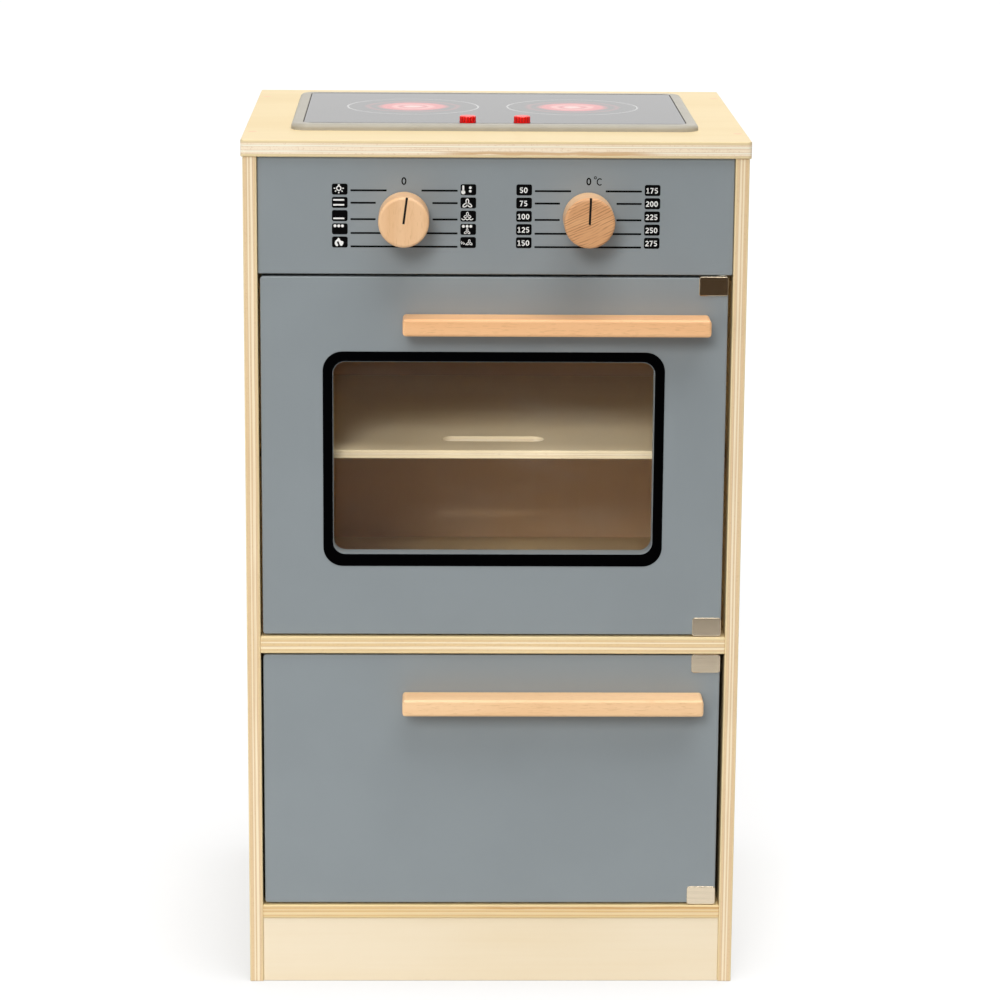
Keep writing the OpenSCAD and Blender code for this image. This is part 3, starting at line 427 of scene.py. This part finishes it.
def beech(name, grain=X, tone=BEECH, rings=None, pointer=None):
    """Beech: even wood with short darker flecks drawn out along the grain. Pointer is the knob's middle,
    its face and its pointer's angle: in the sawn groove, which runs up from the middle, the wood is black.
    Rings is the slope and the pitch of the thin dark year rings on a knob's darker face: they lie where
    (z cos slope - x sin slope) / pitch, shifted by a little noise, is near a whole number and a half."""
    wood = Finish(name, Roughness=0.42, Specular_IOR_Level=0.4)
    broad = wood.noise(along(grain, 6.0, 90.0), 3.0)
    fleck = wood.noise(along(grain, 160.0, 1700.0), 2.0, 0.4)
    deeper = tuple(a * b for a, b in zip(tone, (0.92, 0.86, 0.78)))
    cloud = wood.step(broad, 0.3, 0.75)
    colour = wood.mix(cloud, tone, deeper)
    colour = wood.lay(colour, BEECH_FLECK, wood.step(fleck, 0.56, 0.7), 0.3)
    if rings:
        slope, pitch = rings
        sawn = wood.near(wood.parts[Y], pointer[2], 1.0 * MM, 1.8 * MM)
        colour = wood.mix(sawn, colour, wood.mix(cloud, BEECH_DEEP, BEECH_DARK))
        height = wood.turned(wood.parts[Z], wood.parts[X], slope, 1 / pitch)
        turn = (0, slope, 0)
        sway = wood.calc("MULTIPLY_ADD", wood.noise((30.0, 30.0, 120.0), 2.0, turn=turn), 3.0, -1.5)
        height = wood.calc("ADD", height, sway)
        line = wood.near(wood.calc("FRACT", height), 0.5, 0.06, 0.3)
        broken = wood.step(wood.noise((90.0, 90.0, 700.0), 2.0, turn=turn), 0.3, 0.62)
        colour = wood.lay(colour, BEECH_RING, line, broken, sawn, 0.8)
    if pointer:
        x, z, face, angle = pointer
        aside = wood.turned(wood.calc("SUBTRACT", wood.parts[X], x), wood.calc("SUBTRACT", wood.parts[Z], z),
                            angle)
        groove = wood.near(aside, 0.0, 0.80 * MM, 0.86 * MM)
        upper = wood.step(wood.parts[Z], z - 4 * MM, z - 3 * MM)
        sunk = wood.near(wood.parts[Y], face + 0.65 * MM, 0.55 * MM, 0.6 * MM)
        colour = wood.lay(colour, PRINT_BLACK, groove, upper, sunk)
    wood.set(Base_Color=colour)
    wood.bump(fleck, 0.04 * MM)
    return wood.material


def painted(name):
    """Satin paint on board: hardly uneven in colour, with the fine relief that a roller leaves and edges
    that catch the light as if rounded by half a millimetre."""
    paint = Finish(name, Roughness=0.46)
    cloud = paint.noise(18.0, 3.0)
    paint.set(Base_Color=paint.mix(paint.step(cloud, 0.3, 0.7), PAINT, tuple(c * 0.965 for c in PAINT)))
    paint.bump(paint.noise(1400.0, 2.0), 0.04 * MM, 0.6)
    paint.soften(0.6 * MM)
    return paint.material


def ink(name, colour, gloss=0.05):
    """Flat screen print, very slightly uneven."""
    film = Finish(name, Roughness=0.8, Specular_IOR_Level=gloss)
    cloud = film.noise(60.0, 2.0)
    film.set(Base_Color=film.mix(film.step(cloud, 0.3, 0.7), colour, tuple(c * 0.95 for c in colour)))
    return film.material


def plastic(name, colour, roughness, grain=0.0, gloss=0.5):
    """Moulded plastic with a faint unevenness and, if grain is set, the fine texture of its mould."""
    mould = Finish(name, Roughness=roughness, Specular_IOR_Level=gloss)
    cloud = mould.noise(40.0, 2.0)
    darker = tuple(c * 0.93 for c in colour)
    mould.set(Base_Color=mould.mix(mould.step(cloud, 0.3, 0.7), colour, darker))
    if grain:
        mould.bump(mould.noise(2600.0, 2.0), grain)
    return mould.material


def metal(name, colour, roughness, brushed=None, edge=0.0):
    """Plated metal, with fine scratches drawn out along the brushed axis where one is given. Its edges
    shine as if they were rounded by the radius edge."""
    plate = Finish(name, Metallic=1.0, Roughness=roughness)
    scales = 700.0 if brushed is None else along(brushed, 30.0, 3000.0)
    marks = plate.noise(scales, 3.0, 0.6)
    plate.set(Base_Color=plate.mix(plate.step(marks, 0.3, 0.7), colour, tuple(c * 0.88 for c in colour)))
    plate.bump(marks, 0.02 * MM, 0.5)
    if edge:
        plate.soften(edge)
    return plate.material


def acrylic(name):
    """Clear sheet: what lies behind shows through, and it mirrors more at a flat angle, with the fifth
    power of how far the surface is turned away."""
    sheet = Finish(name, Base_Color=(0.9, 0.92, 0.92), Roughness=0.04)
    clear = sheet.node("ShaderNodeBsdfTransparent", {"Color": (0.975, 0.98, 0.975)})
    turned = sheet.node("ShaderNodeLayerWeight", {"Blend": 0.5}).outputs["Facing"]
    smear = sheet.step(sheet.noise(along(X, 9.0, 25.0), 4.0, 0.6), 0.45, 0.8)
    sheen = sheet.calc("MULTIPLY_ADD", sheet.calc("POWER", turned, 5.0), 0.9, 0.012)
    sheen = sheet.calc("MULTIPLY_ADD", smear, 0.015, sheen)
    both = sheet.node("ShaderNodeMixShader",
                      {"Fac": sheen, 1: clear.outputs[0], 2: sheet.surface.outputs[0]})
    output = sheet.tree.nodes["Material Output"]
    sheet.tree.links.new(both.outputs[0], output.inputs["Surface"])
    return sheet.material


def hob_panel(name, ring_x, ring_y):
    """Dark glossy panel. Each ring's print goes by the distance r from its middle: a thin white circle,
    and red coils that fade in bands from a pale heart to 35 mm, shifted by a little noise. The coils' red
    print is given as emission, a painted glow, and their pale heart is a painted reflection."""
    panel = Finish(name, Roughness=0.1, Specular_IOR_Level=0.445, Specular_Tint=(1.0, 0.96, 0.925))
    dx = panel.calc("SUBTRACT", panel.calc("ABSOLUTE", panel.parts[X]), ring_x)
    dy = panel.calc("SUBTRACT", panel.parts[Y], ring_y)
    r = panel.calc("DIVIDE", panel.length(dx, dy), MM)
    circle = panel.near(r, RING_RADIUS, RING_HALF, RING_FADE)
    uneven = panel.calc("MULTIPLY_ADD", panel.noise(120.0, 3.0), 5.0, -2.5)
    stops = panel.calc("DIVIDE", panel.calc("ADD", r, uneven), COIL_REACH)
    coil_glow = panel.node("ShaderNodeValToRGB", {"Fac": stops})
    ramp = coil_glow.color_ramp
    while len(ramp.elements) < len(COIL_PRINT_AND_PAINTED_GLOW):
        ramp.elements.new(0.5)
    for element, (radius, colour) in zip(ramp.elements, COIL_PRINT_AND_PAINTED_GLOW):
        element.position = radius / COIL_REACH
        element.color = (*colour, 1)
    panel.set(Base_Color=panel.mix(circle, PANEL_DARK, RING_WHITE))
    # painted glow: the coils' red print shines as emission, and its pale heart is a painted reflection
    panel.set(Emission_Color=coil_glow.outputs[0], Emission_Strength=0.48)
    panel.bump(panel.noise(90.0, 1.0), 0.02 * MM, 0.3)
    return panel.material


def button_plastic(name, button):
    """Red plastic of a ribbed button, with painted shade that darkens the grooves, which lie deeper than the
    ribs' reach from the button's axis, and a painted highlight, a paler red, along the top edge."""
    low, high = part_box(button)
    cap = Finish(name, Roughness=0.22, Specular_IOR_Level=0.35)
    dx = cap.calc("SUBTRACT", cap.parts[X], (low.x + high.x) / 2)
    dy = cap.calc("SUBTRACT", cap.parts[Y], (low.y + high.y) / 2)
    r = cap.length(dx, dy)
    # painted shade: the grooves between the ribs are darker, except near the top
    rib = cap.step(r, 5.25 * MM, 5.55 * MM)
    top = cap.step(cap.parts[Z], high.z - 0.9 * MM, high.z - 0.35 * MM)
    # painted highlight: a paler red along the top edge
    painted_highlight = cap.times(top, cap.step(r, 4.2 * MM, 5.2 * MM))
    colour = cap.mix(cap.calc("MAXIMUM", rib, top), BUTTON_GROOVE_SHADE, BUTTON_RED)
    cap.set(Base_Color=cap.mix(painted_highlight, colour, BUTTON_TOP_HIGHLIGHT))
    cap.bump(cap.noise(1500.0, 2.0), 0.02 * MM, 0.3)
    return cap.material


def assign(material, *nodes):
    """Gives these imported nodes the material."""
    for name in nodes:
        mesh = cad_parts[name].data
        mesh.materials.clear()
        mesh.materials.append(material)


def finish_boards():
    """Plywood boards: the axis through their layers, the grain's axis, the colour of the veneer, the
    colours of the layers, how many there are, a number that shifts the pattern, and heartwood."""
    boards = {
        "worktop": (Z, X, WORKTOP_FACE, WORKTOP_LAYERS, 7, 2.9, (0.035, 0.085, 1.0, 2.8)),
        "side_left": (X, Z, BIRCH_FACE, SIDE_LAYERS, 7, 0.3, None),
        "side_right": (X, Z, BIRCH_FACE, SIDE_LAYERS, 7, 5.7, None),
        "oven_ceiling": (Z, X, BIRCH_FACE, SHELF_LAYERS, 7, 1.1, None),
        "middle_shelf": (Z, X, BIRCH_FACE, SHELF_LAYERS, 7, 3.6, None),
        "bottom_shelf": (Z, X, BASE_FACE, BASE_LAYERS, 7, 4.2, (0.085, 0.12, 4.9, 6.4)),
        "plinth": (Y, X, PLINTH_FACE, SIDE_LAYERS, 7, 6.5, None),
        "back_panel": (Y, Z, OVEN_TAN, SIDE_LAYERS, 3, 7.3, None),
        "oven_shelf": (Z, X, RACK_FACE_WITH_PAINTED_LIGHT, RACK_LAYERS_WITH_PAINTED_LIGHT, 3, 8.8, None)}
    for board, (thick, grain, *looks) in boards.items():
        assign(plywood(board + "_ply", board, thick, grain, *looks), board)


def finish_pieces():
    """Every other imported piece."""
    assign(painted("blue_grey_paint"), "fascia", "upper_door", "lower_door")
    assign(ink("window_print", PRINT_BLACK, 0.0), "window_border")
    assign(acrylic("acrylic_sheet"), "window_pane")
    assign(beech("upper_handle_beech", tone=BEECH_WARM), "upper_handle")
    assign(beech("lower_handle_beech", tone=BEECH_PALE), "lower_handle")
    assign(beech("runner_beech", Y), "shelf_runners")
    year_rings = (math.radians(25), 1.6 * MM)
    for side, angle, grain, rings in (("left", 7.5, Z, None), ("right", 2.0, X, year_rings)):
        low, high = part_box(side + "_knob")
        pointer = ((low.x + high.x) / 2, (low.z + high.z) / 2, low.y, math.radians(angle))
        assign(beech(side + "_knob_beech", grain, rings=rings, pointer=pointer), side + "_knob")
    assign(beech("dowel_beech", Y), "left_knob_dowel", "right_knob_dowel")
    assign(beech("plug_beech", X), "worktop_plugs", "side_plugs")
    assign(metal("nickel_plate", NICKEL, 0.22, X, 0.9 * MM), "upper_hinge_clips", "lower_hinge_clips")
    assign(metal("zinc_plate", ZINC, 0.32), "worktop_screws", "side_screws", "runner_screws",
           "back_screws", "catch_screws", "catch_magnets", "pane_screws", "upper_handle_screws",
           "lower_handle_screws", "upper_hinge_screws", "lower_hinge_screws", "upper_hinge_pins",
           "lower_hinge_pins", "upper_strike", "lower_strike", "left_knob_retainer",
           "right_knob_retainer", "hob_screws", "battery_contacts")
    add_button_springs(metal("spring_steel", SPRING_STEEL, 0.3))
    assign(plastic("nylon", NYLON, 0.5), "hinge_bushes", "door_catches")
    assign(plastic("felt", FELT, 0.95, 0.2 * MM), "knob_washers")
    assign(plastic("rim_plastic", RIM_GREY, 0.4, 0.02 * MM, 0.3), "hob_frame")
    for button in ("left_button", "right_button"):
        assign(button_plastic(button + "_red", button), button)
    assign(plastic("black_plastic", MOULDED_BLACK, 0.5, 0.03 * MM), "hob_base", "button_switches", "speaker",
           "battery_cover")
    assign(plastic("circuit_green", BOARD_GREEN, 0.35), "circuit_board")
    assign(plastic("red_lamp", LAMP_RED, 0.15), "ring_lamps")
    assign(plastic("cell_sleeve", CELL_SLEEVE, 0.35), "battery_cells")
    low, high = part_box("ring_lamps")
    assign(hob_panel("hob_panel", high.x - LAMP_REACH, (low.y + high.y) / 2), "hob_cover")


# ---------------------------------------------------------------- printed dials

def rounded_box(x, z, width, height, radius, steps=5):
    """Points round a rectangle whose corners are quarter circles of that radius."""
    turn = np.linspace(0, np.pi / 2, steps)
    corners = []
    for k, (sx, sz) in enumerate(((1, 1), (-1, 1), (-1, -1), (1, -1))):
        angle = turn + k * np.pi / 2
        corners.append(np.stack([x + sx * (width / 2 - radius) + radius * np.cos(angle),
                                 z + sz * (height / 2 - radius) + radius * np.sin(angle)], 1))
    return np.concatenate(corners)


def arc(x, z, across, tall, start, end, steps=20):
    """Points on an oval round x, z, between two angles in degrees, both included."""
    angle = np.radians(np.linspace(start, end, steps))
    return np.stack([x + across * np.cos(angle), z + tall * np.sin(angle)], 1)


def oval(x, z, across, tall, steps=20):
    """Points all round an oval."""
    return arc(x, z, across, tall, 0, 360 - 360 / steps, steps)


def band(path, width, closed=False):
    """Strip of that width along a path: the path moved to both sides along its normal."""
    path = np.asarray(path, float)
    if closed:
        tangent = np.roll(path, -1, 0) - np.roll(path, 1, 0)
    else:
        tangent = np.gradient(path, axis=0)
    tangent /= np.linalg.norm(tangent, axis=1, keepdims=True)
    normal = np.stack([-tangent[:, 1], tangent[:, 0]], 1) * width / 2
    return path - normal, path + normal, closed


def blades(x, z, size, spread=125):
    """Three blades of a fan round x, z, one upright and two that hang to the sides: oval rings, each of
    which starts at the middle and points away at its own angle."""
    shapes = []
    for angle, length in ((90, size), (90 + spread, size * 1.12), (90 - spread, size * 1.12)):
        out = math.radians(angle)
        ring = oval(length / 2, 0, length / 2, size * 0.29, 16)
        path = np.stack([x + ring[:, 0] * np.cos(out) - ring[:, 1] * np.sin(out),
                         z + ring[:, 0] * np.sin(out) + ring[:, 1] * np.cos(out)], 1)
        shapes.append(band(path, size * 0.22, closed=True))
    return shapes


def figure(sign, x, z):
    """Strokes of one bold figure, 3.8 mm high, round x, z."""
    top, bold = 1.56, 0.68
    if sign == "0":
        return [band(oval(x, z, 0.92, top), bold, closed=True)]
    if sign == "1":
        paths = [[(-0.9, 1.05), (0.15, 1.62)], [(0.12, 1.9), (0.12, -1.9)], [(-0.85, -top), (1.05, -top)]]
    elif sign == "2":
        bow = arc(0.0, 0.66, 0.86, 0.88, 155, -25, 12)
        paths = [np.concatenate([bow, [(-0.72, -1.35)]]), [(-1.1, -top), (1.15, -top)]]
    elif sign == "5":
        bow = arc(-0.1, -0.68, 0.92, 0.88, 130, -140, 14)
        paths = [[(-1.0, top), (0.92, top)], [(-0.68, 1.8), (-0.72, 0.2)], bow]
    else:
        paths = [[(-1.12, top), (1.15, top)], [(0.82, 1.7), (-0.42, -1.9)]]
    return [band(np.asarray(path) + (x, z), bold) for path in paths]


def oven_sign(column, row, x, z):
    """White shapes of one oven setting round x, z: light, heat from above and below, heat from below,
    grill, gas; then thermometer, fan, fan over rising heat, fan with grill, and fan with slanted heat."""
    if (column, row) == (0, 0):
        x, z = x - 0.6, z + 0.6
        shapes = [band(oval(x, z, 1.45, 1.45), 0.7, closed=True), rounded_box(x, z + 2.1, 1.3, 1.3, 0.3, 3)]
        for angle in (0, 180, 222, 270, 318):
            out = np.array([math.cos(math.radians(angle)), math.sin(math.radians(angle))])
            shapes.append(band([out * 2.35 + (x, z), out * 3.45 + (x, z)], 0.75))
        return shapes
    if (column, row) == (0, 1):
        return [rounded_box(x - 0.7, z + dz, 7.5, 1.05, 0.3, 3) for dz in (1.7, -1.66)]
    if (column, row) == (0, 2):
        return [rounded_box(x - 0.7, z - 1.85, 7.5, 1.05, 0.3, 3)]
    dots = [oval(x + dx, z + 2.05, 1.0, 1.0) for dx in (-3.25, -0.72, 1.78)]
    if (column, row) == (0, 3):
        return dots
    if (column, row) == (0, 4):
        outline = ((-2.0, -2.9), (-2.85, -2.4), (-3.5, -1.2), (-3.4, 0.0), (-2.8, 1.1), (-1.8, 1.9),
                   (-1.1, 3.0), (-0.3, 2.4), (0.45, 1.2), (0.8, 0.7), (1.5, 0.65), (2.4, 0.2), (2.3, -1.2),
                   (1.6, -2.3), (0.8, -2.7), (0.1, -2.2), (-0.3, -1.2), (-0.75, 0.1), (-1.3, 0.7),
                   (-1.95, -0.1), (-1.75, -1.0), (-1.2, -1.7), (-1.3, -2.6))
        return [np.asarray(outline) + (x, z)]
    if (column, row) == (1, 0):
        return [oval(x - 3.45, z - 1.75, 1.4, 1.4), rounded_box(x - 3.45, z + 0.85, 1.35, 4.1, 0.6, 4),
                oval(x + 1.3, z + 1.35, 0.92, 0.92), oval(x + 1.3, z - 1.0, 0.92, 0.92)]
    if (column, row) == (1, 1):
        return blades(x - 0.65, z - 0.5, 3.15)
    if (column, row) == (1, 2):
        step = np.linspace(0, 3, 37)
        wave = np.stack([x - 4.5 + 2.6 * step, z - 1.6 - 0.9 * np.abs(np.sin(np.pi * step))], 1)
        return [*blades(x - 0.55, z + 0.4, 2.3, 115), band(wave, 0.6)]
    if (column, row) == (1, 3):
        return [*dots, *blades(x - 0.7, z - 1.45, 2.0)]
    slants = ((-5.0, 0.3, -4.2, -1.2), (-4.6, 0.9, -2.9, -1.4), (-3.2, 0.2, -1.6, -1.7))
    shapes = [band([(x + a, z + b), (x + c, z + d)], 0.36) for a, b, c, d in slants]
    return [*shapes, *blades(x + 0.8, z - 0.1, 2.05)]


def add_plates(name, shapes, face, thickness, material, level=False):
    """Thin closed plates, sized in millimetres, that face -Y with their face at that depth, or up with
    their face at that height where they lie level. An outline becomes two faces and its walls, and a
    band becomes a strip of quads on both faces, with walls along both sides and the ends."""
    points, faces = [], []
    start = 0
    for shape in shapes:
        if isinstance(shape, tuple):
            right, left, closed = shape
            count = len(right)
            ring = np.concatenate([right, left])
            step = np.arange(count if closed else count - 1)
            following = (step + 1) % count
            front = np.stack([step, following, following + count, step + count], 1)
            edges = np.concatenate([np.stack([step, following], 1),
                                    np.stack([following + count, step + count], 1)])
            if not closed:
                ends = np.array([[count - 1, 2 * count - 1], [count, 0]])
                edges = np.concatenate([edges, ends])
            front = [tuple(f) for f in front + start]
        else:
            ring = shape
            step = np.arange(len(ring))
            edges = np.stack([step, np.roll(step, -1)], 1)
            front = [tuple(step + start)]
        total = len(ring)
        edges = edges + start
        faces += front
        faces += [tuple(np.array(f[::-1]) + total) for f in front]
        faces += [(b, a, a + total, b + total) for a, b in edges]
        for back in (0.0, thickness):
            if level:
                points.append(np.stack([ring[:, 0] * MM, ring[:, 1] * MM, np.full(total, face - back)], 1))
            else:
                points.append(np.stack([ring[:, 0] * MM, np.full(total, face + back), ring[:, 1] * MM], 1))
        start += 2 * total
    mesh = bpy.data.meshes.new(name)
    mesh.from_pydata(np.concatenate(points).tolist(), [], [tuple(int(i) for i in f) for f in faces])
    mesh.validate()
    mesh.materials.append(material)
    piece = bpy.data.objects.new(name, mesh)
    bpy.context.scene.collection.objects.link(piece)
    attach(piece, "carcass")
    return piece


def add_dials():
    """Black lines, tags and zeros on the fascia round both knobs, with white signs and figures in the
    tags."""
    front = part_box("fascia")[0].y
    knobs = [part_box(name) for name in ("left_knob_dowel", "right_knob_dowel")]
    middles = [((low.x + high.x) / 2 / MM + 0.05, (low.z + high.z) / 2 / MM) for low, high in knobs]
    black, white = ink("dial_ink", PRINT_BLACK), ink("dial_white", PRINT_WHITE, 0.3)
    tag_width, tag_height, tag_radius = 10.6, 7.5, 1.3
    tag_out, tag_rise, tag_pitch = 43.4, 0.35, 9.0
    figure_pitch = 2.88
    line_rises = (17.6, 9.15, -2.0, -11.45, -20.6)
    line_ends = (11.7, 19.1, 19.2, 13.0, 0.0)
    line_out, line_width = 36.2, 1.25
    numbers = (("50", "75", "100", "125", "150"), ("175", "200", "225", "250", "275"))
    tags, lines, signs = [], [], []
    for dial, (x, z) in enumerate(middles):
        for rise, end in zip(line_rises, line_ends):
            for side in (-1, 1):
                across = x + side * (line_out + end) / 2
                lines.append(rounded_box(across, z + rise, line_out - end, line_width, 0.3, 3))
        for column, side in enumerate((-1, 1)):
            for row in range(5):
                tag_x, tag_z = x + side * tag_out, z + tag_rise + tag_pitch * (2 - row)
                tags.append(rounded_box(tag_x, tag_z, tag_width, tag_height, tag_radius))
                if dial:
                    word = numbers[column][row]
                    for k, sign in enumerate(word):
                        figure_x = tag_x - 0.4 + figure_pitch * (k - (len(word) - 1) / 2)
                        signs += figure(sign, figure_x, tag_z - 0.2)
                else:
                    signs += oven_sign(column, row, tag_x, tag_z)
    (left_x, left_z), (right_x, right_z) = middles
    zeros = [band(oval(left_x - 0.1, left_z + 24.0, 1.25, 2.2), 0.9, closed=True),
             band(oval(right_x + 0.2, right_z + 24.2, 1.2, 2.15), 0.95, closed=True),
             band(oval(right_x + 4.6, right_z + 26.8, 0.75, 0.75, 14), 0.5, closed=True),
             band(arc(right_x + 7.6, right_z + 24.0, 1.75, 2.15, 48, 312, 18), 0.72)]
    black_film, white_film = 0.06 * MM, 0.05 * MM
    add_plates("dial_tags", tags, front - black_film, black_film, black)
    add_plates("dial_lines", lines + zeros, front - black_film, black_film, black)
    add_plates("dial_signs", signs, front - black_film - white_film, white_film, white)


def add_hob_seam_and_shade():
    """The dark seam between the hob's panel and its rim, widened at the front into painted shade of the
    rim's lip: a band round the panel, drawn along its edge.
    """
    low, high = (np.array(corner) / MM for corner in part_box("hob_cover"))
    middle, size = (low + high) / 2, high - low
    outside = rounded_box(middle[X], middle[Y], size[X] - 0.1, size[Y] - 0.1, 2.5)
    # the band is wider at the front, where it is painted shade of the rim's lip
    inside = rounded_box(middle[X], middle[Y] + 0.3, size[X] - 1.0, size[Y] - 2.4, 2.2)
    add_plates("hob_seam_and_shade", [(outside, inside, True)], (high[Z] + 0.05) * MM, 0.04 * MM,
               ink("seam_and_shade_black", SEAM_AND_SHADE_DARK, 0.1), level=True)


def add_button_springs(material):
    """Each button's wire spring as a piece of its own, with its doubled points merged, attached to the
    carcass in place of the imported spring, which is hidden."""
    for side in ("left", "right"):
        node = side + "_button_spring"
        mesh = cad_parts[node].data.copy()
        merged = bmesh.new()
        merged.from_mesh(mesh)
        bmesh.ops.remove_doubles(merged, verts=merged.verts, dist=0.001 * MM)
        merged.to_mesh(mesh)
        merged.free()
        mesh.materials.clear()
        mesh.materials.append(material)
        spring = bpy.data.objects.new(side + "_sprung_coil", mesh)
        bpy.context.scene.collection.objects.link(spring)
        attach(spring, "carcass")
        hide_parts(node)
        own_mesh(spring)


add_camera()
add_world(level=0.20, room=(0.05, 0.028, 0.010))
add_sun("key", 0.44, 14, 28, 20)
add_sun("overhead", 0.67, -30, 74, 45)
add_sun("behind", 0.15, 200, 40, 40)
add_softbox("left_softbox", 0.23, 0.8, (-0.80, -0.90, 0.50), (0.0, -0.15, 0.34))
for lamp, strength, across in (("middle", 0.17, 0.0), ("right", 0.15, 0.064)):
    add_snoot(lamp + "_snoot", strength, 4.9, (across, -1.45, 1.0), (across, -0.136, 0.386))
add_floor(front=-1.03, grey=0.45, seen_grey=0.25, lift=0.765)
bpy.context.scene.view_settings.view_transform = "Standard"
finish_boards()
finish_pieces()
add_dials()
add_hob_seam_and_shade()
